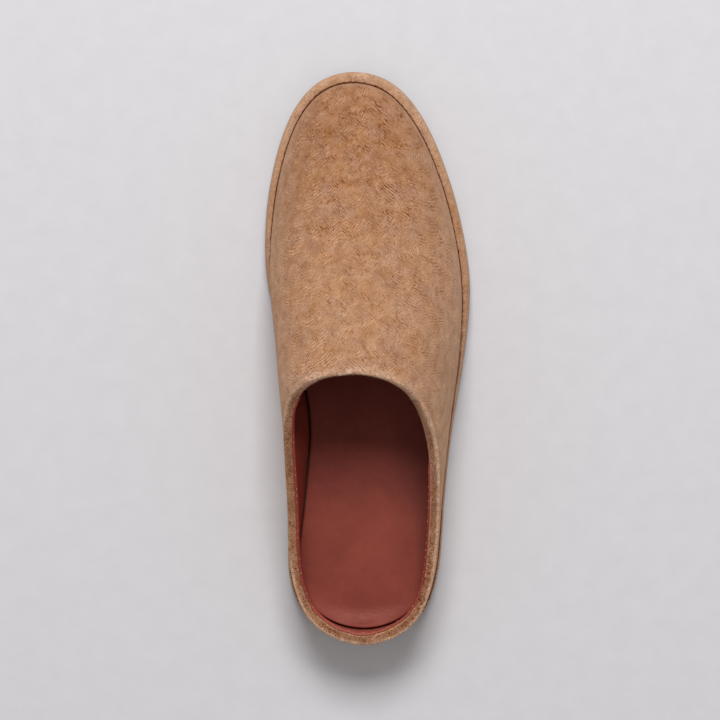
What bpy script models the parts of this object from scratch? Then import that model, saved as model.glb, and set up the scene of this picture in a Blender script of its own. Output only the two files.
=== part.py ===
"""A right-foot suede mule with a low closed back, on a sole whose edge is wrapped in suede.

Metres, +Z up. The toe points along +Y and the little-toe side is +X. The origin is on the floor,
under the middle of the shoe.
"""

import math

import bmesh
import bpy
import numpy as np

MM = 0.001

# Sizes of the whole shoe
SOLE_LENGTH = 285.0 * MM
HEEL_Y = -SOLE_LENGTH / 2
GAP = 0.3 * MM

# The bottom of the sole: flat heel, hollow arch, flat forefoot, sprung toe
ARCH_BACK_Y = -62.0 * MM
ARCH_FRONT_Y = 20.0 * MM
ARCH_HOLLOW = 2.0 * MM
SPRING_Y = 64.0 * MM
TOE_SPRING = 5.5 * MM
TREAD_EDGE = 3.5 * MM
TREAD_SETBACK = 0.6 * MM
TREAD_CHAMFER = 0.8 * MM

# The rand stands on the tread edge and rolls over to the seam
RAND_CROWN = 1.0 * MM
RAND_SHOULDER = 4.0 * MM
RAND_FLARE = 0.6 * MM
SEAM_DEPTH = 0.9 * MM

# The insole
INSOLE_THICK = 4.0 * MM
INSOLE_GAP = 0.8 * MM
INSOLE_EDGE = 1.2 * MM
INSOLE_DISH = 1.6 * MM

# The upper's wall and its opening
WALL = 2.4 * MM
COLLAR_WALL = 5.0 * MM
COLLAR_BAND = 11.0 * MM
COLLAR_ROUND = 1.5 * MM
COLLAR_CORNER = math.radians(50)
RIDGE_BACK_Y = -106.0 * MM
RIDGE_FRONT_Y = 106.0 * MM
THROAT_Y = -7.9 * MM
QUARTER_HEIGHT = 31.0 * MM
COLLAR_FALL = 54.0 * MM
HEEL_LIFT = 1.5 * MM

# How finely the pieces are cut
RING_HALF = 40
LID_COLUMNS = 8
COLLAR_RIBS = 23
VAMP_RIBS = 19
RIB_ROWS = 13


def table(columns, rows):
    """The named columns of a short table, in metres but for the shares and exponents."""
    plain = ("along", "crown_medial", "crown_lateral")
    cells = zip(columns.split(), np.array(rows, float).T)
    return {name: cell if name in plain else cell * MM for name, cell in cells}


# A row for each station of the sole, heel to toe: its share of the length, the middle line, the
# half breadths of the edge from that line, the rand's breadth and the height of the upper's bottom
SOLE = table(
    "along   axis  medial lateral rand_medial rand_lateral feather",
    [
        (0.000, -1.6, 0.0, 0.0, 2.2, 2.2, 17.5),
        (0.040, -1.7, 28.8, 28.2, 2.0, 2.1, 17.4),
        (0.120, -1.7, 37.9, 37.5, 1.8, 2.0, 17.1),
        (0.190, -1.4, 38.0, 39.3, 1.8, 2.0, 16.8),
        (0.250, -1.0, 36.2, 40.0, 1.8, 2.0, 16.4),
        (0.390, 0.0, 33.2, 43.5, 1.9, 2.3, 15.0),
        (0.500, 0.0, 40.0, 48.9, 2.4, 3.4, 13.8),
        (0.630, 0.0, 50.4, 51.8, 3.0, 4.9, 12.6),
        (0.740, -0.6, 50.5, 47.7, 4.0, 5.0, 12.2),
        (0.850, -2.6, 43.5, 40.1, 4.6, 5.2, 12.9),
        (0.940, -5.0, 30.9, 29.2, 5.3, 5.9, 14.3),
        (0.985, -6.4, 16.8, 16.8, 5.9, 6.2, 15.2),
        (1.000, -6.8, 0.0, 0.0, 6.3, 6.3, 15.5),
    ],
)

# A row for each station of the last: how far the upper stands out past its own bottom edge, the
# place and height of the ridge along its top, and how square the section is on each side
LAST = table(
    "along   hang_medial hang_lateral ridge_x ridge crown_medial crown_lateral",
    [
        (0.000, 4.6, 4.6, -2.0, 90.0, 3.2, 3.2),
        (0.120, -0.9, -2.0, -3.0, 92.0, 3.2, 2.8),
        (0.250, 6.2, 0.8, -5.0, 94.5, 3.6, 2.3),
        (0.340, 13.6, 2.6, -7.0, 95.5, 3.0, 2.0),
        (0.430, 17.5, 2.8, -8.0, 93.5, 2.4, 1.88),
        (0.500, 14.4, 2.2, -8.0, 84.3, 2.35, 2.08),
        (0.630, 4.0, 1.0, -6.5, 69.5, 2.4, 2.2),
        (0.740, 0.6, 0.5, -5.5, 57.5, 2.3, 2.2),
        (0.850, 0.4, 0.4, -5.5, 46.5, 2.3, 2.2),
        (0.940, 0.3, 0.3, -6.5, 37.0, 2.2, 2.2),
        (1.000, 0.2, 0.2, -7.0, 30.5, 2.2, 2.2),
    ],
)


def smooth(rows, name, phi):
    """A column's value at the angle phi, on a smooth curve through its rows."""
    knots = np.arcsin(2 * rows["along"] - 1)
    values = rows[name]
    slopes = np.gradient(values, knots)
    i = np.clip(np.searchsorted(knots, phi) - 1, 0, len(knots) - 2)
    step = knots[i + 1] - knots[i]
    u = (phi - knots[i]) / step
    start = (1 + 2 * u) * (1 - u) ** 2 * values[i] + u * (1 - u) ** 2 * step * slopes[i]
    end = u * u * (3 - 2 * u) * values[i + 1] + u * u * (u - 1) * step * slopes[i + 1]
    return start + end


def sided(rows, name, side, phi):
    """A column that has a medial and a lateral form, by side: +1 lateral, -1 medial."""
    lateral = smooth(rows, name + "lateral", phi)
    return np.where(side > 0, lateral, smooth(rows, name + "medial", phi))


def length_y(phi):
    return HEEL_Y + SOLE_LENGTH * (1 + np.sin(phi)) / 2


def phi_of(y):
    return np.arcsin(np.clip(2 * (y - HEEL_Y) / SOLE_LENGTH - 1, -1, 1))


def edge_x(side, phi):
    return smooth(SOLE, "axis", phi) + side * sided(SOLE, "", side, phi)


def sole_edge(side, phi, inset):
    """Plan points inset from the sole's edge, and the way out from them."""
    before = np.maximum(phi - 1e-4, -math.pi / 2)
    after = np.minimum(phi + 1e-4, math.pi / 2)
    run = edge_x(side, after) - edge_x(side, before)
    rise = length_y(after) - length_y(before)
    out = np.stack([side * rise, -side * run], -1) / np.hypot(run, rise)[..., None]
    edge = np.stack([edge_x(side, phi), length_y(phi)], -1)
    return edge - out * np.asarray(inset)[..., None], out


def bottom_height(y):
    """The underside of the sole: flat but for the hollow of the arch and the spring of the toe."""
    share = np.clip((y - ARCH_BACK_Y) / (ARCH_FRONT_Y - ARCH_BACK_Y), 0, 1)
    spring = np.clip((y - SPRING_Y) / (-HEEL_Y - SPRING_Y), 0, 1)
    return ARCH_HOLLOW * np.sin(math.pi * share) ** 2 + TOE_SPRING * spring**2


def feather_height(y):
    """The line where the upper meets the sole."""
    return smooth(SOLE, "feather", phi_of(y))


def collar_height(y):
    """The top line in side view: it falls from the throat to a low back."""
    back = np.clip((THROAT_Y - y) / (THROAT_Y - HEEL_Y), 0, 1)
    throat = smooth(LAST, "ridge", phi_of(THROAT_Y))
    fall = (throat - QUARTER_HEIGHT) * np.exp((y - THROAT_Y) / COLLAR_FALL)
    return QUARTER_HEIGHT + fall + HEEL_LIFT * back**3


# Points round the edge: up the lateral side from the heel, and back down the medial side
HALF = np.linspace(-math.pi / 2, math.pi / 2, RING_HALF + 1)
RING_PHI = np.concatenate([HALF, HALF[-2:0:-1]])
RING_SIDE = np.where(np.arange(2 * RING_HALF) <= RING_HALF, 1, -1)
RAND = sided(SOLE, "rand_", RING_SIDE, RING_PHI)


def ring(inset, height):
    """A closed ring of points at this inset from the sole's edge, its heights a function of y."""
    plan, _ = sole_edge(RING_SIDE, RING_PHI, RAND * 0 + inset)
    return np.column_stack([plan, height(plan[:, 1])])


def bands(rings, closed=False):
    """The four-sided faces between rings of the same count, listed from the bottom up."""
    count = len(rings[0])
    faces = []
    for level in range(len(rings) - (not closed)):
        low = level * count
        high = (level + 1) % len(rings) * count
        for i in range(count):
            j = (i + 1) % count
            faces.append((low + i, low + j, high + j, high + i))
    return faces


def add_lid(points, faces, first, height, up):
    """Closes a ring that starts at index first with a sheet ruled across the shoe."""
    rows = []
    for i in range(1, RING_HALF):
        lateral = first + i
        medial = first + 2 * RING_HALF - i
        row = [lateral]
        for column in range(1, LID_COLUMNS):
            share = column / LID_COLUMNS
            x, y, _ = points[lateral] * (1 - share) + points[medial] * share
            row.append(len(points))
            points.append(np.array([x, y, height(y, share)]))
        rows.append(row + [medial])
    quads = []
    for near, far in zip(rows, rows[1:]):
        for c in range(LID_COLUMNS):
            quads.append((near[c], far[c], far[c + 1], near[c + 1]))
    for c in range(LID_COLUMNS):
        quads.append((first, rows[0][c], rows[0][c + 1]))
        quads.append((first + RING_HALF, rows[-1][c + 1], rows[-1][c]))
    faces.extend(quads if up else [quad[::-1] for quad in quads])


def add_piece(name, points, faces, material):
    mesh = bpy.data.meshes.new(name)
    mesh.from_pydata([tuple(point) for point in points], [], faces)
    mesh.materials.append(material)
    piece = bpy.data.objects.new(name, mesh)
    shoe.objects.link(piece)
    work = bmesh.new()
    work.from_mesh(mesh)
    bmesh.ops.remove_doubles(work, verts=work.verts, dist=0.01 * MM)
    work.to_mesh(mesh)
    work.free()
    return piece


def add_material(name, colour, roughness):
    material = bpy.data.materials.new(name)
    material.use_nodes = True
    shader = material.node_tree.nodes["Principled BSDF"]
    shader.inputs["Base Color"].default_value = (*colour, 1.0)
    shader.inputs["Roughness"].default_value = roughness
    return material


for old in list(bpy.data.objects):
    bpy.data.objects.remove(old)
shoe = bpy.data.collections.new("suede_mule")
bpy.context.scene.collection.children.link(shoe)

suede = add_material("suede", (0.42, 0.22, 0.12), 0.95)
rand_suede = add_material("rand_suede", (0.46, 0.27, 0.18), 0.95)
russet_leather = add_material("russet_leather", (0.22, 0.06, 0.04), 0.5)
brown_rubber = add_material("brown_rubber", (0.07, 0.045, 0.035), 0.8)


# Sole: a tread edge that steps in to the core under the upper
def tread_top(y):
    return bottom_height(y) + TREAD_EDGE


def core_top(y):
    return feather_height(y) - GAP


sole_rings = [
    ring(TREAD_SETBACK + TREAD_CHAMFER, bottom_height),
    ring(TREAD_SETBACK, lambda y: bottom_height(y) + TREAD_CHAMFER),
    ring(TREAD_SETBACK, tread_top),
    ring(RAND, tread_top),
    ring(RAND, core_top),
]
sole_points = list(np.concatenate(sole_rings))
sole_faces = bands(sole_rings)
top_ring = (len(sole_rings) - 1) * 2 * RING_HALF
add_lid(sole_points, sole_faces, 0, lambda y, share: bottom_height(y), up=False)
add_lid(sole_points, sole_faces, top_ring, lambda y, share: core_top(y), up=True)
add_piece("sole", sole_points, sole_faces, brown_rubber)


# Rand: a band that flares to the floor and rolls over at the top to the seam
def rand_roll(turn):
    """A ring of the roll: turn 0 is the side, 1 the crown, and 2 the bottom of the seam."""
    half = (RAND - GAP - RAND_FLARE) / 2
    inset = RAND_FLARE + half * (1 - math.cos(turn * math.pi / 2))
    if turn <= 1:
        drop = RAND_SHOULDER * (1 - math.sin(turn * math.pi / 2))
    else:
        drop = SEAM_DEPTH * (turn - 1) ** 2
    return ring(inset, lambda y: feather_height(y) + RAND_CROWN - drop)


def rand_side(y):
    return (tread_top(y) + feather_height(y) + RAND_CROWN - RAND_SHOULDER) / 2


rand_rings = [
    ring(RAND - GAP, lambda y: tread_top(y) + GAP),
    ring(0.0, lambda y: tread_top(y) + GAP),
    ring(RAND_FLARE / 2, rand_side),
    *[rand_roll(turn) for turn in (0, 0.33, 0.66, 1, 1.5, 2)],
]
rand_points = list(np.concatenate(rand_rings))
add_piece("rand", rand_points, bands(rand_rings, closed=True), rand_suede)


# Insole: lies inside the upper, rounded along its edge and dished across
def insole_top(y, share):
    across = 1 - (2 * share - 1) ** 2
    return feather_height(y) + INSOLE_THICK - INSOLE_DISH * across


def insole_ring(inset, below_top):
    """A ring of the edge: how far in it lies, and how far under the top of the edge."""
    edge = RAND + WALL + INSOLE_GAP + inset
    return ring(edge, lambda y: feather_height(y) + INSOLE_THICK - below_top)


insole_rings = [
    insole_ring(0, INSOLE_THICK),
    insole_ring(0, INSOLE_EDGE),
    insole_ring(0.3 * INSOLE_EDGE, 0.3 * INSOLE_EDGE),
    insole_ring(INSOLE_EDGE, 0),
]
insole_points = list(np.concatenate(insole_rings))
insole_faces = bands(insole_rings)
top_ring = (len(insole_rings) - 1) * 2 * RING_HALF
add_lid(insole_points, insole_faces, 0, lambda y, share: feather_height(y), up=False)
add_lid(insole_points, insole_faces, top_ring, insole_top, up=True)
add_piece("insole", insole_points, insole_faces, russet_leather)


# Upper: ribs rise from the feather line, over the last, to the collar or to the ridge of the vamp
def last_point(side, phi, theta):
    """The outer face: phi runs from heel to toe, theta from the feather line over to the ridge."""
    rand = sided(SOLE, "rand_", side, phi)
    foot, out = sole_edge(side, phi, rand)
    power = 2 / sided(LAST, "crown_", side, phi)
    over = (1 - np.abs(np.cos(theta)) ** power)[..., None]
    rise = np.sin(theta) ** power
    hang = sided(LAST, "hang_", side, phi)[..., None] * out
    ridge_y = RIDGE_BACK_Y + (RIDGE_FRONT_Y - RIDGE_BACK_Y) * (1 + np.sin(phi)) / 2
    ridge = np.stack([smooth(LAST, "ridge_x", phi_of(ridge_y)), ridge_y], -1)
    girth = foot + hang
    plan = girth + (ridge - girth) * over - hang * ((1 - rise) ** 2)[..., None]
    top = smooth(LAST, "ridge", phi_of(plan[..., 1]))
    height = feather_height(foot[..., 1]) * (1 - rise) + top * rise
    return np.concatenate([plan, height[..., None]], -1)


def collar_angles(side, phi):
    """How far over each rib meets the collar; a quarter turn if it passes in front of the throat."""
    steps = np.linspace(0, math.pi / 2, 400)
    angles = []
    for rib in phi:
        path = last_point(np.full(400, side), np.full(400, rib), steps)
        above = path[:, 2] - collar_height(path[:, 1])
        first = int(np.argmax(above > 0))
        if above[first] <= 0:
            angles.append(math.pi / 2)
        elif first == 0:
            angles.append(0.0)
        else:
            share = above[first - 1] / (above[first - 1] - above[first])
            angles.append(steps[first - 1] + share * (steps[first] - steps[first - 1]))
    return np.array(angles)


def spread(path, count):
    """Shares of a fine path at which count points lie evenly along it."""
    length = np.concatenate([[0], np.cumsum(np.linalg.norm(np.diff(path, axis=0), axis=1))])
    return np.interp(np.linspace(0, length[-1], count), length, np.arange(len(path)))


def at(values, places):
    return np.interp(places, np.arange(len(values)), values)


def upper_ribs(side):
    """The ribs of one side from heel to toe, each a row of points from the feather line up."""
    middle = 2 * (THROAT_Y - RIDGE_BACK_Y) / (RIDGE_FRONT_Y - RIDGE_BACK_Y) - 1
    throat = math.asin(middle)
    fine = throat - (throat + math.pi / 2) * np.linspace(1, 0, 300) ** 2
    turns = collar_angles(side, fine)
    turns[-1] = math.pi / 2
    line = last_point(np.full(300, side), fine, turns)
    places = spread(line, COLLAR_RIBS + 1)
    front = np.linspace(throat, math.pi / 2, VAMP_RIBS + 1)[1:]
    top_phi = np.concatenate([at(fine, places), front])
    top_turn = np.concatenate([at(turns, places), np.full(VAMP_RIBS, math.pi / 2)])
    around = np.linspace(-math.pi / 2, math.pi / 2, 600)
    foot, _ = sole_edge(np.full(600, side), around, 0 * around)
    foot_phi = at(around, spread(foot, COLLAR_RIBS + VAMP_RIBS + 1))
    ribs = []
    for low, high, turn in zip(foot_phi, top_phi, top_turn):
        climb = np.linspace(0, 1, 240)
        path = last_point(np.full(240, side), low + (high - low) * climb**2, turn * climb)
        rows = spread(path, RIB_ROWS + 1)
        ribs.append(np.column_stack([at(path[:, axis], rows) for axis in range(3)]))
    return ribs


upper_points = []
upper_faces = []
collar_line = []
for side in (1, -1):
    ribs = upper_ribs(side)
    first = len(upper_points)
    upper_points.extend(np.concatenate(ribs))
    collar_line.extend(rib[-1] for rib in ribs[: COLLAR_RIBS + 1])
    for r in range(COLLAR_RIBS + VAMP_RIBS):
        for row in range(RIB_ROWS):
            a = first + r * (RIB_ROWS + 1) + row
            b = a + RIB_ROWS + 1
            quad = (a, b, b + 1, a + 1)
            upper_faces.append(quad if side > 0 else quad[::-1])
upper = add_piece("upper", upper_points, upper_faces, suede)

# The wall doubles in thickness towards the opening, as the suede is turned over there
collar_line = np.array(collar_line)
near_collar = upper.vertex_groups.new(name="near_collar")
for vertex in upper.data.vertices:
    away = np.linalg.norm(collar_line - np.array(vertex.co), axis=1).min()
    weight = max(0.0, 1 - away / COLLAR_BAND)
    near_collar.add([vertex.index], weight * weight * (3 - 2 * weight), "REPLACE")
wall = upper.modifiers.new("wall", "SOLIDIFY")
wall.thickness = COLLAR_WALL
wall.offset = -1
wall.use_even_offset = True
wall.vertex_group = near_collar.name
wall.thickness_vertex_group = WALL / COLLAR_WALL
bpy.context.view_layer.objects.active = upper
bpy.ops.object.modifier_apply(modifier=wall.name)

# The collar is rolled: both of its edges are rounded, the bottom of the wall stays cut square
work = bmesh.new()
work.from_mesh(upper.data)
collar_edges = []
for edge in work.edges:
    middle = np.array((edge.verts[0].co + edge.verts[1].co) / 2)
    away = np.linalg.norm(collar_line - middle, axis=1).min()
    if away < COLLAR_WALL + COLLAR_ROUND and edge.calc_face_angle() > COLLAR_CORNER:
        collar_edges.append(edge)
bmesh.ops.bevel(
    work,
    geom=collar_edges,
    offset=COLLAR_ROUND,
    segments=3,
    profile=0.5,
    affect="EDGES",
    clamp_overlap=True,
)
work.to_mesh(upper.data)
work.free()
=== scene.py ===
import math

import bmesh
import bpy
import numpy as np
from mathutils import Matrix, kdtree


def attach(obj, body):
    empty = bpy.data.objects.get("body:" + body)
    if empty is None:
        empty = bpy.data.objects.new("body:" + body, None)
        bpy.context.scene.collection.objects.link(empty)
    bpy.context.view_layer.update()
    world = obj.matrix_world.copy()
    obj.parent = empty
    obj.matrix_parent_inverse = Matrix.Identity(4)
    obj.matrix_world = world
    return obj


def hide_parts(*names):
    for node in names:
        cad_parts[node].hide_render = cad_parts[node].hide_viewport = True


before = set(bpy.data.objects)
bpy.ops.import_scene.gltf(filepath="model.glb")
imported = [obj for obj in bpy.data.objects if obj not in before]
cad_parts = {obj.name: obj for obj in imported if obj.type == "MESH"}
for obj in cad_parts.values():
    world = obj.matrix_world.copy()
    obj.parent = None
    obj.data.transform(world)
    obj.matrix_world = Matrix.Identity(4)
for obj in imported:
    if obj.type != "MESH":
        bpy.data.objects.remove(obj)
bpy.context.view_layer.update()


# Sole: a moulded rubber bottom unit, flat under heel and ball, hollow at the arch and sprung at the
# toe. Its thin edge shows under the rand, and grooves across the heel and the forefoot leave low ribs.
RIB_PITCH, RIB_DEPTH, RIB_BORDER = 0.006, 0.001, 0.007
HEEL_RIBS, FOREFOOT_RIBS = (-0.128, -0.074), (0.006, 0.072)
RIB_ROW = 0.004
SOLE_WELD = 2e-5
SOLE_SHARP = 35


def take_up(piece):
    """Makes a piece the only one selected, and the active one."""
    bpy.ops.object.select_all(action="DESELECT")
    piece.select_set(True)
    bpy.context.view_layer.objects.active = piece


def copy_solid(node, name):
    """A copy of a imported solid, its triangles merged and joined back into four-sided faces."""
    piece = bpy.data.objects.new(name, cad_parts[node].data.copy())
    piece.data.name = name
    piece.data.materials.clear()
    bpy.context.scene.collection.objects.link(piece)
    take_up(piece)
    bpy.ops.object.mode_set(mode="EDIT")
    bpy.ops.mesh.select_all(action="SELECT")
    bpy.ops.mesh.customdata_custom_splitnormals_clear()
    bpy.ops.mesh.remove_doubles(threshold=2e-6)
    flat = math.radians(70)
    bpy.ops.mesh.tris_convert_to_quads(face_threshold=flat, shape_threshold=flat)
    bpy.ops.object.mode_set(mode="OBJECT")
    return piece


def round_off(piece, levels, keep_edges_over=None):
    """Smooths a piece by subdivision; edges that turn by more than the given angle stay."""
    take_up(piece)
    if keep_edges_over:
        bpy.ops.object.mode_set(mode="EDIT")
        bpy.ops.mesh.select_all(action="DESELECT")
        bpy.ops.mesh.edges_select_sharp(sharpness=math.radians(keep_edges_over))
        bpy.ops.transform.edge_crease(value=0.9)
        bpy.ops.object.mode_set(mode="OBJECT")
    smooth = piece.modifiers.new("smooth", "SUBSURF")
    smooth.levels = smooth.render_levels = levels
    bpy.ops.object.modifier_apply(modifier="smooth")


def vertex_places(piece):
    places = np.empty(len(piece.data.vertices) * 3)
    piece.data.vertices.foreach_get("co", places)
    return places.reshape(-1, 3)


def vertex_normals(piece):
    normals = np.empty(len(piece.data.vertices) * 3, np.float32)
    piece.data.vertex_normals.foreach_get("vector", normals)
    return normals.reshape(-1, 3).astype(float)


def keep_value(piece, name, values):
    """Puts a number on each vertex, which the finish reads by its name."""
    kept = piece.data.attributes.new(name, "FLOAT", "POINT")
    kept.data.foreach_set("value", values.astype(np.float32))


def paint(red, green, blue):
    """A colour as the eye reads it, 0 to 255, in the scene's linear light."""
    shares = [value / 255 for value in (red, green, blue)]
    return [s / 12.92 if s <= 0.04045 else ((s + 0.055) / 1.055) ** 2.4 for s in shares] + [1.0]


def new_finish(name):
    """A new material, its shader, and the place on the piece that its patterns follow."""
    finish = bpy.data.materials.new(name)
    finish.use_nodes = True
    place = add_node(finish, "TexCoord").outputs["Object"]
    return finish, finish.node_tree.nodes["Principled BSDF"], place


def set_inputs(finish, node, inputs):
    """Sets inputs of a node, each to a plain value or to the socket that feeds it."""
    for name, value in inputs.items():
        if isinstance(value, bpy.types.NodeSocket):
            finish.node_tree.links.new(value, node.inputs[name])
        else:
            node.inputs[name].default_value = value


def add_node(finish, kind, inputs=None, **settings):
    """A node of a finish, with its settings and inputs."""
    node = finish.node_tree.nodes.new("ShaderNode" + kind)
    for name, value in settings.items():
        setattr(node, name, value)
    set_inputs(finish, node, inputs or {})
    return node


def read_value(finish, name):
    """A number that was kept on the vertices."""
    return add_node(finish, "Attribute", attribute_name=name).outputs["Fac"]


def blend_colours(finish, share, under, over, way="MIX"):
    mix = add_node(finish, "Mix", {0: share, 6: under, 7: over}, data_type="RGBA", blend_type=way)
    return mix.outputs[2]


def ramp(finish, share, stops):
    """Colours or greys along a scale from 0 to 1."""
    node = add_node(finish, "ValToRGB", {"Fac": share})
    for i, (place, colour) in enumerate(stops):
        stop = node.color_ramp.elements[i] if i < 2 else node.color_ramp.elements.new(place)
        stop.position = place
        stop.color = colour if isinstance(colour, list) else [colour] * 3 + [1.0]
    return node.outputs["Color"]


def noise(finish, place, scale, detail, roughness=0.5):
    inputs = {"Vector": place, "Scale": scale, "Detail": detail, "Roughness": roughness}
    return add_node(finish, "TexNoise", inputs).outputs["Fac"]


def reckon(finish, first, way, second):
    """One step of arithmetic on two values or sockets."""
    return add_node(finish, "Math", {0: first, 1: second}, operation=way).outputs[0]


sole = copy_solid("sole", "rubber_sole")
round_off(sole, 2, keep_edges_over=SOLE_SHARP)
tread = vertex_places(sole)[vertex_normals(sole)[:, 2] < -0.9]
grooves = np.concatenate([np.arange(start, end, RIB_PITCH) for start, end in (HEEL_RIBS, FOREFOOT_RIBS)])
bars = []
for groove_y in grooves:
    row = tread[np.abs(tread[:, 1] - groove_y) < RIB_ROW, 0]
    wide = row.max() - row.min() - 2 * RIB_BORDER
    bpy.ops.object.select_all(action="DESELECT")
    bpy.ops.mesh.primitive_cylinder_add(
        vertices=4, radius=RIB_DEPTH, depth=wide, rotation=(0, math.pi / 2, 0),
        location=((row.max() + row.min()) / 2, groove_y, 0))
    bars.append(bpy.context.object)
for bar in bars:
    bar.select_set(True)
bpy.ops.object.join()
cutter = bpy.context.object
take_up(sole)
cut = sole.modifiers.new("grooves", "BOOLEAN")
cut.object = cutter
cut.solver = "EXACT"
bpy.ops.object.modifier_apply(modifier="grooves")
bpy.data.objects.remove(cutter)
bpy.ops.object.mode_set(mode="EDIT")
bpy.ops.mesh.select_all(action="SELECT")
bpy.ops.mesh.remove_doubles(threshold=SOLE_WELD)
bpy.ops.object.mode_set(mode="OBJECT")
places = vertex_places(sole)
in_groove = np.abs(places[:, 1, None] - grooves).min(1) < SOLE_WELD / 2
at_bottom = np.abs(places[:, 2] - RIB_DEPTH) < SOLE_WELD / 2
keep_value(sole, "groove", (in_groove & at_bottom).astype(float))

brown_rubber, shader, place = new_finish("brown_rubber")
bloom = noise(brown_rubber, place, 70, 5, 0.65)
grit = noise(brown_rubber, place, 1800, 3)
tone = ramp(brown_rubber, bloom, [(0.3, paint(70, 52, 42)), (0.72, paint(94, 72, 58))])
speck = ramp(brown_rubber, grit, [(0.35, 0.82), (0.65, 1.1)])
tone = blend_colours(brown_rubber, 1.0, tone, speck, "MULTIPLY")
# Darker at the bottom of the grooves
groove_darkening = reckon(brown_rubber, read_value(brown_rubber, "groove"), "MULTIPLY", 0.5)
tone = blend_colours(brown_rubber, groove_darkening, tone, paint(34, 25, 20))
bump = add_node(brown_rubber, "Bump", {"Strength": 0.35, "Distance": 0.0002, "Height": grit})
rough = ramp(brown_rubber, bloom, [(0.2, 0.62), (0.8, 0.82)])
set_inputs(brown_rubber, shader, {
    "Base Color": tone,
    "Roughness": rough,
    "Normal": bump.outputs["Normal"],
    "Specular IOR Level": 0.35,
})
sole.data.materials.append(brown_rubber)
take_up(sole)
bpy.ops.object.shade_smooth_by_angle(angle=math.radians(SOLE_SHARP))
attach(sole, "root")
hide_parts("sole")


# Rand: a strip of tan suede drawn over the edge of the sole, rolled over at the top and sewn to the
# upper along a dark seam. A shallow channel beside the seam takes the stitches of the forepart.
POST_HIGH, POST_LEAN = 0.003, 0.00005
SEAM_RISE, SEAM_RISE_WIDE = 0.0006, 0.0013
SEAM_LEAN, SEAM_LEAN_WIDE = 0.001, 0.0007
SEAM_REACH = 0.004
CHANNEL_OUT, CHANNEL_WIDE, CHANNEL_DEEP = 0.0003, 0.0006, 0.00015
FOREPART_FROM_Y, FOREPART_FADE = -0.01, 0.04
# Behind the forepart a painted shadow line and a painted highlight line follow the seam.
SHADOW_LINE_OUT, SHADOW_LINE_WIDE, SHADOW_LINE_DARK = 0.0007, 0.0003, 0.6
HIGHLIGHT_LINE_OUT, HIGHLIGHT_LINE_WIDE, HIGHLIGHT_LINE_PALE = 0.0014, 0.0004, 0.6
# The top of the toe is painted paler toward its outer edge, as a highlight
TOE_FROM_Y, TOE_FADE, TOE_EDGE, TOE_HIGHLIGHT = 0.06, 0.06, 0.003, 0.4
FROM_ABOVE = (1, 1, 0)


def set_places(piece, places):
    piece.data.vertices.foreach_set("co", places.ravel())
    piece.data.update()


def nearest_on(line, places):
    """For each place the nearest point of a line, by its number, and how far off it is."""
    tree = kdtree.KDTree(len(line))
    for i, spot in enumerate(line):
        tree.insert(spot, i)
    tree.balance()
    found = [tree.find(spot) for spot in places]
    return np.array([i for _, i, _ in found]), np.array([far for _, _, far in found])


def distance_to(line, places):
    return nearest_on(line, places)[1]


def round_loop(loop, times):
    """A closed line of points with smooth points put in between."""
    for _ in range(times):
        before, after, beyond = np.roll(loop, 1, 0), np.roll(loop, -1, 0), np.roll(loop, -2, 0)
        between = (9 * (loop + after) - before - beyond) / 16
        loop = np.stack([loop, between], 1).reshape(-1, 3)
    return loop


def hump(distance, width):
    """1 at no distance, falling off to either side."""
    return np.exp(-((distance / width) ** 2))


def fade(values, start, over):
    """From 0 at the start to 1 at the given way beyond it; a way under 0 leads backward."""
    return np.clip((values - start) / over, 0, 1)


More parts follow.
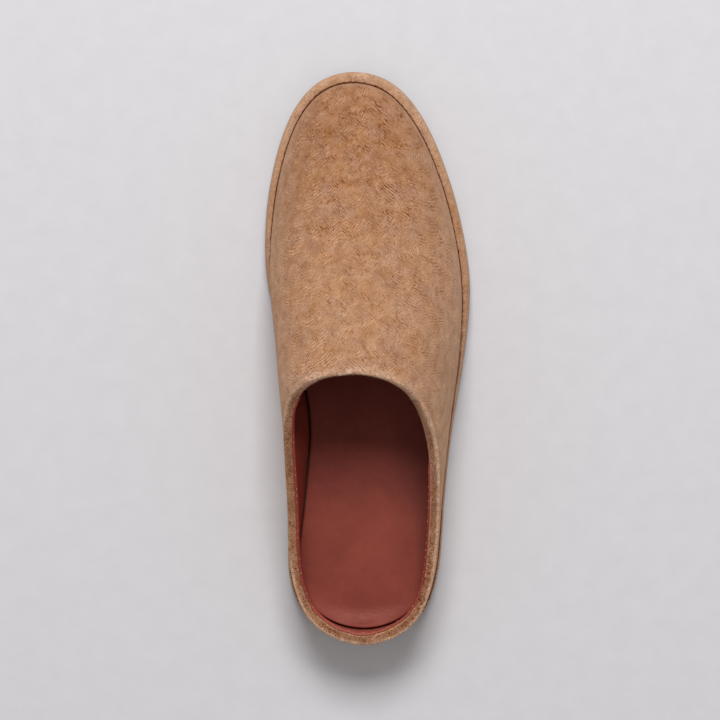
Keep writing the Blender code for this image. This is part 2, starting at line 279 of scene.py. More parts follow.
def napped_suede(name, pink, gold, back_seam=None):
    """Brushed suede: softly clouded tan, its nap in short crossing strokes, pale where it is rubbed up or
    painted highlit, dark where stained or painted shaded.

    A back seam is given by its x and by the y and z that it stays under.
    """
    finish, shader, place = new_finish(name)
    tone = ramp(finish, noise(finish, place, 120, 4, 0.6), [(0.35, pink), (0.65, gold)])
    strokes = []
    for turn in (0.78, -0.78, 0.0):
        turned = add_node(finish, "Mapping", {"Vector": place, "Rotation": (0.35, 0.0, turn)}).outputs[0]
        drawn = add_node(finish, "Mapping", {"Vector": turned, "Scale": (430, 3000, 1600)}).outputs[0]
        strokes.append(noise(finish, drawn, 1.0, 2, 0.7))
    combed = []
    for turn in ((0.0, 0.72, -0.75), (0.0, 2.42, -0.75)):
        turned = add_node(finish, "Mapping", {"Vector": place, "Rotation": turn}).outputs[0]
        comb = {"Vector": turned, "Scale": 390, "Distortion": 5.0, "Detail": 2.0, "Detail Scale": 1.2}
        combed.append(add_node(finish, "TexWave", comb).outputs["Fac"])
    lie = ramp(finish, noise(finish, place, 170, 2), [(0.45, 0.0), (0.55, 1.0)])
    nap = blend_colours(finish, lie, strokes[0], strokes[1])
    nap = blend_colours(finish, 0.25, nap, strokes[2])
    comb = reckon(finish, blend_colours(finish, lie, combed[0], combed[1]), "SUBTRACT", 0.5)
    combing = ramp(finish, noise(finish, place, 210, 3), [(0.42, 0.03), (0.62, 0.19)])
    comb = reckon(finish, comb, "MULTIPLY", combing)
    depth = ramp(finish, noise(finish, place, 130, 3), [(0.36, 0.35), (0.64, 1.0)])
    depth = reckon(finish, depth, "ADD", read_value(finish, "ruffled"))
    ruffle = reckon(finish, reckon(finish, nap, "SUBTRACT", 0.5), "ADD", comb)
    ruffle = reckon(finish, ruffle, "MULTIPLY", depth)
    grain = reckon(finish, noise(finish, place, 3000, 2), "SUBTRACT", 0.5)
    patch = reckon(finish, noise(finish, place, 170, 4, 0.65), "SUBTRACT", 0.5)

    in_patches = ramp(finish, noise(finish, place, 190, 3), [(0.35, 0.35), (0.62, 1.0)])
    hairs = reckon(finish, ramp(finish, nap, [(0.36, 0.35), (0.6, 1.0)]), "MULTIPLY", in_patches)
    # Rubbed nap and painted highlights turn the tone pale; stains and painted shade turn it dark
    rubbed_and_highlit = reckon(finish, read_value(finish, "rubbed_and_highlit"), "MULTIPLY", hairs)
    tone = blend_colours(finish, rubbed_and_highlit, tone, paint(228, 194, 170))
    tone = blend_colours(finish, read_value(finish, "stain_and_shade"), tone, paint(114, 58, 34))
    seam_colour = paint(108, 54, 30)
    seam = ramp(finish, read_value(finish, "seam"), [(0.86, 0.0), (0.895, 0.95)])
    tone = blend_colours(finish, seam, tone, seam_colour)
    if back_seam:
        seam_x, under_y, under_z = back_seam
        spot = add_node(finish, "SeparateXYZ", {0: place})
        off = reckon(finish, reckon(finish, spot.outputs["X"], "SUBTRACT", seam_x), "ABSOLUTE", 0.0)
        closed = ramp(finish, reckon(finish, off, "MULTIPLY", 1000.0), [(0.2, 0.85), (0.55, 0.0)])
        for axis, limit in (("Y", under_y), ("Z", under_z)):
            within = reckon(finish, spot.outputs[axis], "LESS_THAN", limit)
            closed = reckon(finish, closed, "MULTIPLY", within)
        tone = blend_colours(finish, closed, tone, seam_colour)

    # Darker toward the toe, and lighter on the wall as a painted sheen
    shade = reckon(finish, reckon(finish, ruffle, "MULTIPLY", 1.35), "SUBTRACT", read_value(finish, "deep"))
    for mark, share in ((grain, 0.3), (patch, 0.44)):
        shade = reckon(finish, shade, "ADD", reckon(finish, mark, "MULTIPLY", share))
    marks = add_node(finish, "VectorMath", {0: (1.0, 0.72, 0.5), "Scale": shade}, operation="SCALE")
    tone = add_node(finish, "VectorMath", {0: tone, 1: marks.outputs[0]}).outputs[0]
    height = reckon(finish, reckon(finish, ruffle, "MULTIPLY", 2.0), "ADD", grain)
    bump = add_node(finish, "Bump", {"Strength": 0.4, "Distance": 0.0004, "Height": height})
    set_inputs(finish, shader, {
        "Base Color": tone,
        "Normal": bump.outputs["Normal"],
        "Roughness": 0.95,
        "Specular IOR Level": 0.1,
        "Sheen Weight": 0.2,
        "Sheen Roughness": 0.5,
        "Sheen Tint": (1.0, 0.75, 0.55, 1.0),
    })
    return finish


rand = copy_solid("rand", "suede_rand")
posts = []
for edge in rand.data.edges:
    low, high = sorted((rand.data.vertices[i].co for i in edge.vertices), key=lambda spot: spot.z)
    if high.z - low.z > POST_HIGH and (high - low).xy.length < POST_LEAN:
        posts.append(high)
posts = np.array(sorted(posts, key=lambda spot: math.atan2(spot.y, spot.x)))
seam_line = round_loop(posts, 4)
ahead = np.roll(seam_line, -1, 0) - np.roll(seam_line, 1, 0)
seam_out = np.column_stack([ahead[:, 1], -ahead[:, 0], 0 * ahead[:, 0]])
seam_out /= np.linalg.norm(seam_out, axis=1)[:, None]
round_off(rand, 2, keep_edges_over=60)
places, normals = vertex_places(rand), vertex_normals(rand)
seam_spot, from_seam = nearest_on(seam_line * FROM_ABOVE, places * FROM_ABOVE)
on_top = fade(normals[:, 2], 0, 0.5)
at_seam = hump(distance_to(seam_line, places), SEAM_LEAN_WIDE)
places -= (SEAM_LEAN * at_seam)[:, None] * seam_out[seam_spot]
places[:, 2] += SEAM_RISE * hump(distance_to(seam_line, places), SEAM_RISE_WIDE)
channel = hump(from_seam - CHANNEL_OUT, CHANNEL_WIDE) * on_top
forepart = fade(places[:, 1], FOREPART_FROM_Y, FOREPART_FADE)
set_places(rand, places - normals * (CHANNEL_DEEP * channel * forepart)[:, None])
keep_value(rand, "seam", np.clip(1 - from_seam / SEAM_REACH, 0, 1))
# Painted shadow: a dark line beside the seam behind the forepart
shadow_line = hump(from_seam - SHADOW_LINE_OUT, SHADOW_LINE_WIDE) * on_top
keep_value(rand, "stain_and_shade", SHADOW_LINE_DARK * shadow_line * (1 - forepart))
# Painted highlight: a pale line further out, and the toe top paler toward its outer edge
highlight_line = hump(from_seam - HIGHLIGHT_LINE_OUT, HIGHLIGHT_LINE_WIDE) * on_top
toe_highlight = TOE_HIGHLIGHT * on_top * fade(from_seam, 0, TOE_EDGE) * fade(places[:, 1], TOE_FROM_Y, TOE_FADE)
keep_value(rand, "rubbed_and_highlit", toe_highlight * forepart + HIGHLIGHT_LINE_PALE * highlight_line * (1 - forepart))
rand_suede = napped_suede("rand_suede", paint(179, 138, 108), paint(182, 136, 100))
rand.data.materials.append(rand_suede)
take_up(rand)
bpy.ops.object.shade_smooth_by_angle(angle=math.radians(50))
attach(rand, "root")
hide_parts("rand")


# Upper: one piece of tan suede drawn over the last, its top edge turned in over a cord to a soft
# bead. The vamp is rubbed pale and painted highlit along the throat, and a seam closes it down the middle of
# the back.
HEEL_Y = -0.1425
THROAT_Y, THROAT_Z = -0.0079, 0.0882
QUARTER_Z, COLLAR_FALL, HEEL_LIFT = 0.031, 0.054, 0.0015
# The middle of the room for the foot, which tells the inside of the wall from its outside
ROOM_X, ROOM_Z, ROOM_BACK_Y, ROOM_FRONT_Y = -0.003, 0.02, -0.09, 0.1
LIP_REACH, LIP_STEPS = 0.007, 12
THROAT_X, THROAT_HALF, THROAT_DEEP, THROAT_FROM_Z = -0.008, 0.022, 0.004, 0.07
THROAT_TUCK, THROAT_TUCK_WIDE = 0.0009, 0.0022
MEDIAL_X, MEDIAL_FADE, LATERAL_FADE = -0.01, 0.015, 0.01
# How far behind the throat the bead of the sides begins, and over what length; sooner on the inner side
SIDE_BACK, SIDE_FADE = 0.008, 0.02
SIDE_BACK_MEDIAL, SIDE_FADE_MEDIAL = 0.004, 0.008
BEAD_MEDIAL, BEAD_LATERAL, BEAD_WIDE, BEAD_PROUD = 0.0037, 0.0039, 0.0007, 0.0004
BEAD_FROM_X, BEAD_FADE, BEAD_AT_THROAT = -0.023, 0.04, 0.15
FOLD_AT, FOLD_WIDE, FOLD_DEEP = 0.0058, 0.0009, 0.0004
BACK_SEAM_X, BACK_SEAM_WIDE, BACK_SEAM_DEEP = -0.0026, 0.0012, 0.0005
BACK_SEAM_TO_Y, BACK_SEAM_TO_Z = -0.12, 0.034
HEM_PROUD, HEM_WIDE, HEM_HIGH, HEM_FADE = 0.0003, 0.0008, 0.003, 0.002
HEM_SEAM_HIGH, HEM_SEAM_NEAR = 0.0005, 0.002
# Across the vamp: where each crease crosses the ridge, its slant, width and depth
CREASES = [
    (0.026, 0.16, 0.0045, 0.00018),
    (0.039, 0.10, 0.0040, 0.00024),
    (0.053, 0.02, 0.0050, 0.00018),
]
CREASE_LONG, CREASE_BOW, RIDGE_X = 0.034, 2.2, -0.006
CREASE_SWELL, CREASE_SWELL_OUT = 0.55, 1.9
# Painted shade on the slope and the fold, a darker lip at the throat, stained nap at the back seam: how
# strong, how wide or long
SLOPE_SHADE, SLOPE_LONG, SLOPE_TO_BEAD = 0.43, 0.0052, 0.0006
LATERAL_SHADE, BACK_SEAM_STAIN = 0.12, 0.25
FOLD_SHADE, FOLD_SHADE_WIDE = 0.2, 0.0007
THROAT_DARK, THROAT_DARK_WIDE = 0.3, 0.0013
# Rubbed nap and painted highlights: how strongly, where and how wide; the bead is painted highlit on the
# outer side, behind and in front
BEAD_HIGHLIGHT, BACK_HIGHLIGHT_Y, BACK_HIGHLIGHT_FADE = 0.8, -0.085, 0.02
FRONT_HIGHLIGHT, FRONT_HIGHLIGHT_Y, FRONT_HIGHLIGHT_LONG = 0.8, -0.026, 0.01
THROAT_RUBBED_LIT, THROAT_RUBBED_LIT_AT, THROAT_RUBBED_LIT_WIDE, THROAT_EDGE = 0.78, 0.0024, 0.0022, 0.0018
HEM_PALE, HEM_PALE_OUT, HEM_PALE_WIDE = 0.3, 0.0013, 0.0007
RUFFLED, RUFFLED_AT, RUFFLED_WIDE = 0.4, 0.003, 0.004
# The vamp is darker toward the toe, and the wall is painted a little lighter, as a sheen
TOE_DEEP, TOE_DEEP_FROM_Y, TOE_DEEP_FADE, WALL_PAINTED_SHEEN = 0.09, 0.012, 0.1, 0.045


def below_collar(places):
    """How far each point lies under the line of the collar, square to that line."""
    y, z = places[:, 1], places[:, 2]
    rise = (THROAT_Z - QUARTER_Z) * np.exp((y - THROAT_Y) / COLLAR_FALL)
    line = QUARTER_Z + rise + HEEL_LIFT * fade(y, THROAT_Y, HEEL_Y - THROAT_Y) ** 3
    return (line - z) / np.hypot(1, rise / COLLAR_FALL)


def faces_in(places, normals):
    """How squarely a point of the wall looks to the middle of the shoe: over 0 on the inside."""
    along = np.clip(places[:, 1], ROOM_BACK_Y, ROOM_FRONT_Y)
    inward = np.column_stack([0 * along + ROOM_X, along, 0 * along + ROOM_Z]) - places
    return (inward * normals).sum(1) / np.linalg.norm(inward, axis=1)


def inner_faces(work):
    centres = np.array([face.calc_center_median() for face in work.faces])
    return faces_in(centres, np.array([face.normal for face in work.faces])) > 0.02


upper = copy_solid("upper", "suede_upper")
bpy.ops.object.mode_set(mode="EDIT")
work = bmesh.from_edit_mesh(upper.data)
inner = inner_faces(work)
lip = []
for edge in work.edges:
    if len({bool(inner[face.index]) for face in edge.link_faces}) == 2:
        start, end = (vertex.co for vertex in edge.verts)
        lip.extend(start.lerp(end, step / LIP_STEPS) for step in range(LIP_STEPS))
lip = np.array(lip)
lip = lip[below_collar(lip) < LIP_REACH]
for vertex in work.verts:
    spot = vertex.co
    behind = spot.y < THROAT_Y + THROAT_DEEP
    vertex.select_set(behind and spot.z > THROAT_FROM_Z and abs(spot.x - THROAT_X) < THROAT_HALF)
work.select_flush_mode()
bpy.ops.mesh.vertices_smooth(factor=0.5, repeat=3)
bpy.ops.object.mode_set(mode="OBJECT")
round_off(upper, 2)
places, normals = vertex_places(upper), vertex_normals(upper)
x, y, z = places.T
outside = fade(faces_in(places, normals), 0, -0.25)
from_lip = distance_to(lip, places)
seam_spot, from_seam = nearest_on(seam_line * FROM_ABOVE, places * FROM_ABOVE)
seam_z = seam_line[seam_spot, 2]
medial, lateral = fade(x, MEDIAL_X, -MEDIAL_FADE), fade(x, 0, LATERAL_FADE)
side_back = SIDE_BACK + (SIDE_BACK_MEDIAL - SIDE_BACK) * medial
side_fade = SIDE_FADE + (SIDE_FADE_MEDIAL - SIDE_FADE) * medial
side = fade(y, THROAT_Y - side_back, -side_fade)
bead_at = BEAD_MEDIAL + (BEAD_LATERAL - BEAD_MEDIAL) * fade(x, BEAD_FROM_X, BEAD_FADE)
bead = hump(from_lip - bead_at, BEAD_WIDE)
move = BEAD_PROUD * bead - FOLD_DEEP * hump(from_lip - FOLD_AT, FOLD_WIDE)
move *= BEAD_AT_THROAT + (1 - BEAD_AT_THROAT) * side
across = x - RIDGE_X
for crease_y, slant, wide, deep in CREASES:
    line = y - crease_y - slant * across + CREASE_BOW * across**2
    crease = hump(line, wide) - CREASE_SWELL * hump(np.abs(line) - CREASE_SWELL_OUT * wide, wide)
    move -= deep * crease * hump(across, CREASE_LONG)
back_seam = np.where(y < BACK_SEAM_TO_Y, hump(x - BACK_SEAM_X, BACK_SEAM_WIDE), 0)
move -= BACK_SEAM_DEEP * back_seam
at_hem = fade(z, seam_z + HEM_HIGH, -HEM_FADE)
move += HEM_PROUD * hump(from_seam, HEM_WIDE) * at_hem
drawn = places + normals * (move * outside)[:, None]
drawn[:, 1] += THROAT_TUCK * hump(from_lip, THROAT_TUCK_WIDE) * (1 - side)
set_places(upper, drawn)

over_seam = z - seam_z - HEM_SEAM_HIGH
by_seam = (outside > 0) * (from_seam < HEM_SEAM_NEAR)
keep_value(upper, "seam", np.clip(1 - over_seam / SEAM_REACH, 0, 1) * by_seam)
# Painted highlight on the bead: on the outer side, behind and in front
highlit_side = lateral + fade(y, BACK_HIGHLIGHT_Y, -BACK_HIGHLIGHT_FADE)
highlit_side = np.clip(highlit_side + FRONT_HIGHLIGHT * hump(y - FRONT_HIGHLIGHT_Y, FRONT_HIGHLIGHT_LONG), 0, 1)
slope_to = SLOPE_LONG + (bead_at - SLOPE_TO_BEAD - SLOPE_LONG) * highlit_side
# Painted shade on the inner slope of the bead and in the fold; the lip at the throat is darker, the back
# seam stained
slope = np.clip(1 - (from_lip / slope_to) ** 6, 0, 1) * side
fold = hump(from_lip - FOLD_AT, FOLD_SHADE_WIDE) * side
stain_and_shade = BACK_SEAM_STAIN * back_seam + (SLOPE_SHADE + LATERAL_SHADE * lateral) * slope + FOLD_SHADE * fold
stain_and_shade += THROAT_DARK * hump(from_lip, THROAT_DARK_WIDE) * (1 - side)
keep_value(upper, "stain_and_shade", np.clip(stain_and_shade * outside, 0, 1))
# Rubbed nap along the throat, with a painted highlight on it
throat = hump(from_lip - THROAT_RUBBED_LIT_AT, THROAT_RUBBED_LIT_WIDE) * fade(from_lip, 0, THROAT_EDGE) * (1 - side)
rubbed_and_highlit = BEAD_HIGHLIGHT * bead * side * highlit_side + THROAT_RUBBED_LIT * throat
# A paler line along the raised hem above the seam
rubbed_and_highlit += HEM_PALE * hump(from_seam - HEM_PALE_OUT, HEM_PALE_WIDE) * at_hem
keep_value(upper, "rubbed_and_highlit", np.clip(rubbed_and_highlit, 0, 1))
keep_value(upper, "ruffled", RUFFLED * hump(from_lip - RUFFLED_AT, RUFFLED_WIDE))
to_toe = fade(y, TOE_DEEP_FROM_Y, TOE_DEEP_FADE)
# Painted sheen: the wall is lighter where it turns away from the top
keep_value(upper, "deep", TOE_DEEP * to_toe**1.4 - WALL_PAINTED_SHEEN * fade(normals[:, 2], 1, -1))
suede = napped_suede(
    "suede", paint(174, 131, 103), paint(179, 131, 95), (BACK_SEAM_X, BACK_SEAM_TO_Y, BACK_SEAM_TO_Z))
upper.data.materials.append(suede)
take_up(upper)
bpy.ops.object.shade_smooth()
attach(upper, "root")
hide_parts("upper")


# Lining: thin russet leather cemented inside the upper. Its edge is folded double along the collar,
# where it shows as a narrow red line, cut a little unevenly. The back of the heel is padded.
# Its edge and the back of the heel wall are painted lighter, as lit where the light falls on them.
LINING_THICK, LINING_EDGE, LINING_FOLD = 0.0005, 0.0008, 0.004
LINING_LAP, LINING_OVER, LINING_UNEVEN = 0.0012, 0.0002, 0.0001
# How far the edge is sunk under the lip: at the throat, on the outer side and at the back of the heel
THROAT_SUNK, THROAT_SUNK_BACK, THROAT_SUNK_SKEW = 0.005, 0.037, 0.016
LATERAL_SUNK, LATERAL_SUNK_FROM_Y, SUNK_FADE = 0.0008, -0.115, 0.03
HEEL_SUNK, HEEL_SUNK_Y, HEEL_FADE = 0.001, -0.118, 0.015
HEEL_PAD, HEEL_PAD_Y, HEEL_PAD_EDGE = 0.0012, -0.119, 0.003
MEDIAL_SWELL, SWELL_Y, SWELL_LONG, SWELL_FADE, SWELL_EDGE = 0.0017, -0.081, 0.024, 0.03, 0.012
SEWN_DOWN, SEWN_ROW, SEWN_REACH = 0.0007, 0.0004, 0.009
# Painted light: the folded edge is lighter, most at the heel, and so is the back of the heel wall
EDGE_LIT, HEEL_EDGE_LIT, HEEL_EDGE_Y, EDGE_WIDE = 0.12, 0.3, -0.115, 0.0016
BACK_PAINTED_LIGHT, BACK_LIGHT_Y, BACK_LIGHT_FADE = 0.35, -0.122, 0.01


def select_faces(work, wanted):
    for face in work.faces:
        face.select_set(wanted(face))
    work.select_flush_mode()


def inside_lip(places, normals):
    """How far each point lies inside the lip of the opening, under 0 on the outer side of it."""
    return distance_to(lip, places) * np.where(faces_in(places, normals) > 0, 1, -1)


def medial_swell(places):
    """The lining and the insole swell from the wall at the inner side of the heel."""
    return MEDIAL_SWELL * hump(places[:, 1] - SWELL_Y, SWELL_LONG) * fade(places[:, 0], 0, -SWELL_FADE)


def smooth_leather(name, deep, mid, lit, shine):
    """Russet leather: drum dyed, a fine pore, a soft shine that wear has dulled in places."""
    finish, shader, place = new_finish(name)
    cloud = noise(finish, place, 34, 4, 0.55)
    patch = noise(finish, place, 240, 4, 0.6)
    pore = add_node(finish, "TexVoronoi", {"Vector": place, "Scale": 1500}).outputs["Distance"]
    tone = ramp(finish, cloud, [(0.3, deep), (0.7, lit), (0.5, mid)])
    tone = blend_colours(finish, 1.0, tone, ramp(finish, patch, [(0.3, 0.9), (0.7, 1.0)]), "MULTIPLY")
    streak = add_node(finish, "Mapping", {"Vector": place, "Scale": (260, 1500, 900)}).outputs[0]
    streak = ramp(finish, noise(finish, streak, 1.0, 3, 0.6), [(0.35, 0.45), (0.65, 1.0)])
    # Scuffs, and painted light on the back of the heel lining, turn the tone pale
    scuff_and_light = reckon(finish, read_value(finish, "scuff_and_light"), "MULTIPLY", streak)
    tone = blend_colours(finish, scuff_and_light, tone, paint(186, 118, 104))
    # Painted shadow of the outer wall on the insole
    tone = blend_colours(finish, read_value(finish, "painted_wall_shadow"), tone, paint(84, 38, 33))
    # Painted highlight on the lining's folded edge
    tone = blend_colours(finish, read_value(finish, "edge"), tone, paint(190, 98, 82))
    height = reckon(finish, patch, "ADD", pore)
    bump = add_node(finish, "Bump", {"Strength": 0.16, "Distance": 0.0002, "Height": height})
    rough = ramp(finish, cloud, [(0.3, shine + 0.08), (0.7, shine - 0.06)])
    set_inputs(finish, shader, {
        "Base Color": tone,
        "Roughness": rough,
        "Normal": bump.outputs["Normal"],
        "Specular IOR Level": 0.16,
    })
    return finish


lining = copy_solid("upper", "russet_lining")
bpy.ops.object.mode_set(mode="EDIT")
work = bmesh.from_edit_mesh(lining.data)
centres = np.array([face.calc_center_median() for face in work.faces])
kept = inner_faces(work) | (distance_to(lip, centres) < LINING_LAP)
select_faces(work, lambda face: not kept[face.index])
bpy.ops.mesh.delete(type="FACE")
bpy.ops.object.mode_set(mode="OBJECT")
round_off(lining, 2)
places = vertex_places(lining)
x, y, _ = places.T
uneven = np.sin(y * 1300 + 2 * np.sin(x * 700)) * np.sin(y * 410)
hand = np.clip((x - ROOM_X) / LATERAL_FADE, -1, 1)
ease = fade(y, THROAT_Y - THROAT_SUNK_BACK - THROAT_SUNK_SKEW * hand, SUNK_FADE)
sunk = THROAT_SUNK * ease**2 * (3 - 2 * ease)
sunk += LATERAL_SUNK * fade(x, 0, LATERAL_FADE) * fade(y, LATERAL_SUNK_FROM_Y, SUNK_FADE)
sunk += HEEL_SUNK * fade(y, HEEL_SUNK_Y, -HEEL_FADE)
depth = inside_lip(places, vertex_normals(lining)) + LINING_OVER - LINING_UNEVEN * uneven - sunk
for edge in lining.data.edges:
    a, b = edge.vertices
    if depth[a] * depth[b] < 0:
        near, far = (a, b) if abs(depth[a]) < abs(depth[b]) else (b, a)
        share = depth[near] / (depth[near] - depth[far])
        places[near] += share * (places[far] - places[near])
        depth[near] = 0
set_places(lining, places)
bpy.ops.object.mode_set(mode="EDIT")
work = bmesh.from_edit_mesh(lining.data)
select_faces(work, lambda face: sum(depth[v.index] for v in face.verts) < 0)
bpy.ops.mesh.delete(type="FACE")
work = bmesh.from_edit_mesh(lining.data)
top_edge = np.array([v.co for v in work.verts if v.is_boundary])
top_edge = top_edge[below_collar(top_edge) < LIP_REACH]
bpy.ops.object.mode_set(mode="OBJECT")
places, normals = vertex_places(lining), vertex_normals(lining)
depth = distance_to(top_edge, places)
back = fade(places[:, 1], HEEL_PAD_Y, -HEEL_FADE)
places += normals * (HEEL_PAD * back * fade(depth, 0, HEEL_PAD_EDGE))[:, None]
places[:, 0] += medial_swell(places) * fade(depth, 0, SWELL_EDGE)
set_places(lining, places)
sewn_row = (np.abs(depth - SEWN_DOWN) < SEWN_ROW) & (below_collar(places) < SEWN_REACH)
sewn_row = (places + normals * LINING_EDGE)[sewn_row]
folded = lining.vertex_groups.new(name="folded")
for i, share in enumerate(np.clip(1 - depth / LINING_FOLD, 0, 1)):
    folded.add([i], share, "REPLACE")
wall = lining.modifiers.new("wall", "SOLIDIFY")
wall.thickness = LINING_EDGE
wall.offset = 1
wall.vertex_group = "folded"
wall.thickness_vertex_group = LINING_THICK / LINING_EDGE
bpy.ops.object.modifier_apply(modifier="wall")

places = vertex_places(lining)
# Painted light on the folded edge, most at the heel, and on the back of the heel wall
lit = EDGE_LIT + HEEL_EDGE_LIT * fade(places[:, 1], HEEL_EDGE_Y, -HEEL_FADE)
keep_value(lining, "edge", lit * hump(distance_to(top_edge, places), EDGE_WIDE))
keep_value(lining, "scuff_and_light", BACK_PAINTED_LIGHT * fade(places[:, 1], BACK_LIGHT_Y, -BACK_LIGHT_FADE))
lining_finish = smooth_leather(
    "russet_lining", paint(132, 54, 42), paint(147, 62, 49), paint(158, 70, 55), 0.62)
lining.data.materials.append(lining_finish)
take_up(lining)
bpy.ops.object.shade_smooth_by_angle(angle=math.radians(40))
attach(lining, "root")


# Insole: a russet leather sock on a padded board, laid in last. It is dished across by the foot, drawn
# in from the wall at the heel and scuffed there where the foot slides in; a shadow of the outer wall is
# painted along its outer side.
INSOLE_SPREAD, HEEL_SPREAD, HEEL_SPREAD_Y = 0.00025, 2.2, -0.094
HEEL_MIDDLE, HEEL_DRAWN_IN, HEEL_DRAWN_IN_Y = (-0.0017, -0.105), 0.04, -0.11
HEEL_EASE = 0.02
SCUFF_AT, SCUFF_LONG, SCUFF_WIDE, SCUFF_BOW = (-0.003, -0.1298), 0.02, 0.0034, 10.0
# How strongly the heel is scuffed, and how dark the painted wall shadow is; then where that shadow lies
SCUFFED, WALL_SHADOW = 0.55, 0.42
DARK_FROM_X, DARK_FADE, DARK_Y, DARK_LONG = 0.008, 0.02, -0.07, 0.04

insole = copy_solid("insole", "russet_insole")
round_off(insole, 2)
places, normals = vertex_places(insole), vertex_normals(insole)
heel, back = (fade(places[:, 1], from_y, -HEEL_EASE) for from_y in (HEEL_SPREAD_Y, HEEL_DRAWN_IN_Y))
places[:, :2] += (INSOLE_SPREAD * (1 - HEEL_SPREAD * heel))[:, None] * normals[:, :2]
places[:, :2] += (HEEL_MIDDLE - places[:, :2]) * (HEEL_DRAWN_IN * back)[:, None]
places[:, 0] += medial_swell(places)
set_places(insole, places)
x, y, _ = places.T
across = x - SCUFF_AT[0]
along = y - SCUFF_AT[1] - SCUFF_BOW * across**2
keep_value(insole, "scuff_and_light", SCUFFED * hump(across, SCUFF_LONG) * hump(along, SCUFF_WIDE))
keep_value(insole, "painted_wall_shadow", WALL_SHADOW * fade(x, DARK_FROM_X, DARK_FADE) * hump(y - DARK_Y, DARK_LONG))
russet_leather = smooth_leather(
    "russet_leather", paint(130, 59, 48), paint(139, 64, 52), paint(147, 69, 56), 0.55)
insole.data.materials.append(russet_leather)
take_up(insole)
bpy.ops.object.shade_smooth_by_angle(angle=math.radians(50))
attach(insole, "root")
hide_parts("insole")


# Rand stitches: waxed brown thread, sewn through the rand in the channel beside the seam, from the
# waist round the toe.
STITCH_PITCH, STITCH_LONG, THREAD = 0.0033, 0.0022, 0.00036
STITCHED_FROM_Y = -0.012


def sew(name, path, pitch, long, thick):
    """Stitches laid end to end along an open path, sunk a little into what they are sewn to."""
    bpy.ops.object.select_all(action="DESELECT")
    bpy.ops.mesh.primitive_uv_sphere_add(segments=8, ring_count=6, radius=0.5)
    stitches = bpy.context.object
    stitches.name = stitches.data.name = name
    bpy.ops.object.mode_set(mode="EDIT")
    bpy.ops.mesh.select_all(action="SELECT")
    bpy.ops.transform.resize(value=(long, thick, thick))
    bpy.ops.object.mode_set(mode="OBJECT")
    one = vertex_places(stitches)
    faces = [list(face.vertices) for face in stitches.data.polygons]
    lengths = np.concatenate([[0], np.cumsum(np.linalg.norm(np.diff(path, axis=0), axis=1))])
    spots = np.arange(pitch / 2, lengths[-1], pitch)
    here = np.column_stack([np.interp(spots, lengths, path[:, axis]) for axis in range(3)])
    step = np.gradient(here, axis=0)
    step /= np.linalg.norm(step, axis=1)[:, None]
    across = np.cross((0, 0, 1), step)
    across /= np.linalg.norm(across, axis=1)[:, None]
    up = np.cross(step, across)
    turned = sum(one[None, :, i, None] * way[:, None] for i, way in enumerate((step, across, up)))
    points = turned + here[:, None]
    loops = [[v + i * len(one) for v in face] for i in range(len(here)) for face in faces]
    stitches.data.clear_geometry()
    stitches.data.from_pydata(points.reshape(-1, 3).tolist(), [], loops)
    bpy.ops.object.shade_smooth()
    return stitches


def thread_finish(name, dark, light):
    """Twisted thread, unevenly waxed."""
    finish, shader, place = new_finish(name)
    wax = noise(finish, place, 220, 3)
    ply = add_node(finish, "TexWave", {"Vector": place, "Scale": 900, "Distortion": 3}).outputs["Fac"]
    tone = ramp(finish, wax, [(0.44, dark), (0.56, light)])
    bump = add_node(finish, "Bump", {"Strength": 0.4, "Distance": 0.0001, "Height": ply})
    set_inputs(finish, shader, {"Base Color": tone, "Normal": bump.outputs["Normal"], "Roughness": 0.65})
    return finish


rand_places = vertex_places(rand)
rand_tree = kdtree.KDTree(len(rand_places))
for i in np.flatnonzero(vertex_normals(rand)[:, 2] > 0.2):
    rand_tree.insert(rand_places[i] * FROM_ABOVE, int(i))
rand_tree.balance()
row = seam_line + seam_out * CHANNEL_OUT
row = row[row[:, 1] > STITCHED_FROM_Y]
row = row[np.argsort(np.arctan2(row[:, 1] - STITCHED_FROM_Y, row[:, 0]))]
for spot in row:
    spot[2] = np.mean([rand_places[n][2] for _, n, _ in rand_tree.find_n(spot * FROM_ABOVE, 4)])
rand_stitches = sew("rand_stitches", row, STITCH_PITCH, STITCH_LONG, THREAD)
rand_stitches.data.materials.append(thread_finish("waxed_thread", paint(100, 58, 38), paint(176, 132, 102)))
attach(rand_stitches, "root")


# Collar stitches: a fine rose-brown thread that holds the lining's folded edge to the upper, round
# the sides and the heel.
COLLAR_PITCH, COLLAR_LONG, COLLAR_THREAD = 0.0036, 0.0012, 0.00045
COLLAR_SEWN_TO_Y = -0.035

sewn = top_edge[top_edge[:, 1] < COLLAR_SEWN_TO_Y]
turn = np.arctan2(sewn[:, 0] - ROOM_X, -(sewn[:, 1] - COLLAR_SEWN_TO_Y))
sewn = sewn[np.argsort(turn)]
sewn = sewn_row[nearest_on(sewn_row, sewn)[0]]
for _ in range(12):
    sewn[1:-1] = (sewn[:-2] + 2 * sewn[1:-1] + sewn[2:]) / 4
collar_stitches = sew("collar_stitches", sewn, COLLAR_PITCH, COLLAR_LONG, COLLAR_THREAD)
collar_stitches.data.materials.append(thread_finish("rose_thread", paint(146, 78, 64), paint(196, 134, 114)))
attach(collar_stitches, "root")


# Nap: loose fibres of the suede that stand up along the collar and the throat, where it is turned over
# and rubbed, and along the rear edge of the rand.
COLLAR_FIBRES, BACK_FIBRES, RAND_FIBRES = 1500, 70, 260
FIBRE_LONG, FIBRE_THICK, FIBRE_SUNK, FIBRE_STRAY = (0.0008, 0.002), 0.00006, 0.0002, 0.0004
FIBRE_RISE = (0.25, 0.9)
THIRDS = (0, math.tau / 3, 2 * math.tau / 3)
COLLAR_NAP_DEEP = 0.0065
BACK_NAP_Y, BACK_NAP_WIDE = -0.138, 0.004
RAND_NAP_TO_Y = -0.04
chance = np.random.default_rng(11)


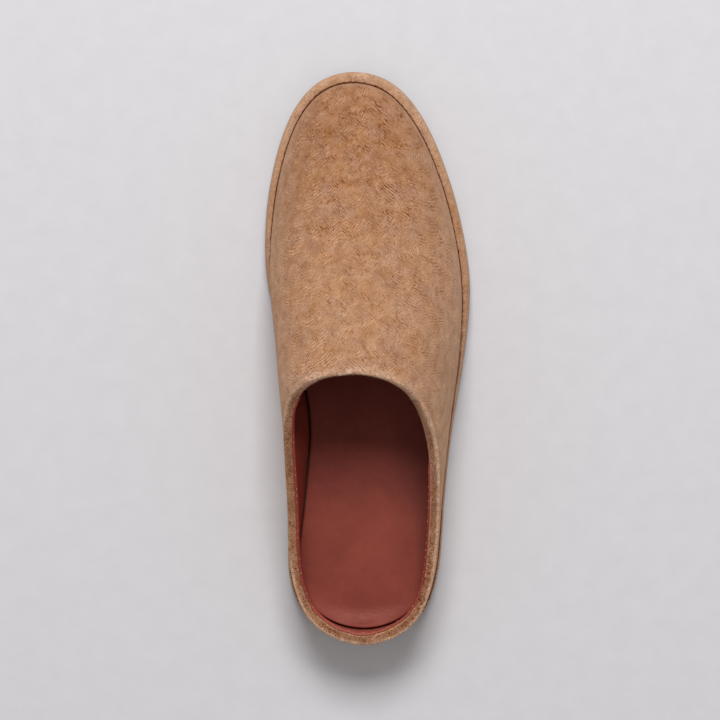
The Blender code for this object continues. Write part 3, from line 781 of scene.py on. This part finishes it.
def grow(piece, chosen, count):
    """Slender three-sided spikes that lean all ways, rooted in the chosen vertices of a piece."""
    roots = chance.choice(np.flatnonzero(chosen), count)
    spots, up = vertex_places(piece)[roots], vertex_normals(piece)[roots]
    lean = chance.normal(size=(count, 3))
    lean -= up * (lean * up).sum(1)[:, None]
    lean /= np.linalg.norm(lean, axis=1)[:, None]
    rise = chance.uniform(*FIBRE_RISE, count)[:, None]
    way = lean * np.cos(rise) + up * np.sin(rise)
    wide = np.cross(way, up)
    wide /= np.linalg.norm(wide, axis=1)[:, None]
    thick = np.cross(wide, way)
    foot = spots + lean * chance.uniform(0, FIBRE_STRAY, count)[:, None] - way * FIBRE_SUNK
    corners = [foot + FIBRE_THICK * (math.cos(a) * wide + math.sin(a) * thick) for a in THIRDS]
    tip = foot + way * chance.uniform(*FIBRE_LONG, count)[:, None]
    return np.stack(corners + [tip], 1).reshape(-1, 3)


places = vertex_places(upper)
at_collar = (distance_to(lip, places) < COLLAR_NAP_DEEP) & (outside > 0.4)
middle_back = at_collar & (places[:, 1] < BACK_NAP_Y) & (np.abs(places[:, 0] - BACK_SEAM_X) < BACK_NAP_WIDE)
slant = vertex_normals(rand)[:, 2]
at_rear = (vertex_places(rand)[:, 1] < RAND_NAP_TO_Y) & (slant > 0.1) & (slant < 0.9)
spikes = np.concatenate([
    grow(upper, at_collar, COLLAR_FIBRES),
    grow(upper, middle_back, BACK_FIBRES),
    grow(rand, at_rear, RAND_FIBRES),
])
faces = [[n + i for i in corner] for n in range(0, len(spikes), 4)
         for corner in ((0, 1, 3), (1, 2, 3), (2, 0, 3), (2, 1, 0))]
nap = bpy.data.objects.new("loose_nap", bpy.data.meshes.new("loose_nap"))
nap.data.from_pydata(spikes.tolist(), [], faces)
bpy.context.scene.collection.objects.link(nap)
take_up(nap)
bpy.ops.object.mode_set(mode="EDIT")
bpy.ops.mesh.select_all(action="SELECT")
bpy.ops.mesh.normals_make_consistent(inside=False)
bpy.ops.object.mode_set(mode="OBJECT")
nap.data.materials.append(napped_suede("loose_nap", paint(198, 158, 130), paint(204, 160, 124)))
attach(nap, "root")


# Floor, light and camera: a pale grey studio floor under one soft light from beyond the toe and the
# even light of the room, seen from straight above.
FLOOR_SIZE = 6
ROOM_LIGHT = 0.36
LIGHT_AT, LIGHT_SIZE, LIGHT_POWER = (0.0, 1.27, 1.79), 0.85, 37
CAMERA_AT, SENSOR_WIDE, LENS = (-0.00365, -0.00205, 1.3), 36, 128.71

bpy.ops.object.select_all(action="DESELECT")
bpy.ops.mesh.primitive_plane_add(size=FLOOR_SIZE)
floor = bpy.context.object
floor.name = "floor"
pale_floor, shader, place = new_finish("pale_floor")
mottle = noise(pale_floor, place, 90, 5, 0.6)
tone = ramp(pale_floor, mottle, [(0.3, paint(216, 214, 217)), (0.7, paint(220, 218, 221))])
set_inputs(pale_floor, shader, {"Base Color": tone, "Roughness": 0.9, "Specular IOR Level": 0.1})
floor.data.materials.append(pale_floor)

studio = bpy.data.worlds.new("studio")
studio.use_nodes = True
studio.node_tree.nodes["Background"].inputs["Color"].default_value = (1.0, 1.0, 1.0, 1.0)
studio.node_tree.nodes["Background"].inputs["Strength"].default_value = ROOM_LIGHT
bpy.context.scene.world = studio
bpy.context.scene.view_settings.view_transform = "Standard"

bpy.ops.object.light_add(type="AREA", location=LIGHT_AT)
key = bpy.context.object
key.name = "soft_light"
key.rotation_euler = key.location.to_track_quat("Z", "Y").to_euler()
key.data.size = LIGHT_SIZE
key.data.energy = LIGHT_POWER

bpy.ops.object.camera_add(location=CAMERA_AT, rotation=(0, 0, 0))
camera = bpy.context.object
camera.data.sensor_width = SENSOR_WIDE
camera.data.lens = LENS
bpy.context.scene.camera = camera
